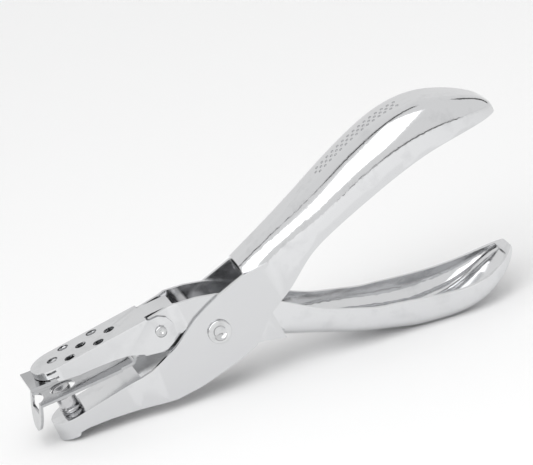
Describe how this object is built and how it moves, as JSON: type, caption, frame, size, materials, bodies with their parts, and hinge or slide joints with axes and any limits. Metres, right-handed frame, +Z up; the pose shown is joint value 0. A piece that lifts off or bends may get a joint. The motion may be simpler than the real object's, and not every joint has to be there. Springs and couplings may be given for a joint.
{
  "type": "hand punch",
  "caption": "Plier-type single-hole paper punch in chromed pressed steel, with spoon-ended handles, a perforated chip cover and a front guide flap.",
  "frame": {"origin": "middle of the bounding box's bottom face, on the surface the tool rests on", "axes": "jaws towards -X, handles towards +X, Y across the tool, +Z up"},
  "size_m": [0.1588, 0.027, 0.0674],
  "materials": {
    "punch_lever": "polished",
    "punch_pin": "polished",
    "die_lever": "polished",
    "die_strip": "polished",
    "chip_cover": "polished",
    "pivot_rivet": "polished",
    "cover_rivets": "polished",
    "spacer_tube": "polished",
    "spring_bush": "polished",
    "handle_spring": "polished"
  },
  "bodies": {
    "die_side": {"die_lever": "die_lever", "die_strip": "die_strip", "pivot_rivet": "pivot_rivet", "cover_rivets": "cover_rivets", "spacer_tube": "spacer_tube", "spring_bush": "spring_bush", "handle_spring": "handle_spring"},
    "punch_side": {"punch_lever": "punch_lever", "punch_pin": "punch_pin"},
    "cover": {"chip_cover": "chip_cover"}
  },
  "joints": [
    {"name": "handle_pivot", "type": "hinge", "parent": "die_side", "child": "punch_side", "pos_m": [-0.0199, 0, 0.01956], "axis": [0, 1, 0], "range_deg": [0, 7.2], "stiffness_Nm_per_rad": 3, "springref_deg": -14.32, "deforming": ["handle_spring"]},
    {"name": "cover_hinge", "type": "hinge", "parent": "die_side", "child": "cover", "pos_m": [-0.03664, 0, 0.02493], "axis": [0, 1, 0], "range_deg": [0, 35]}
  ]
}
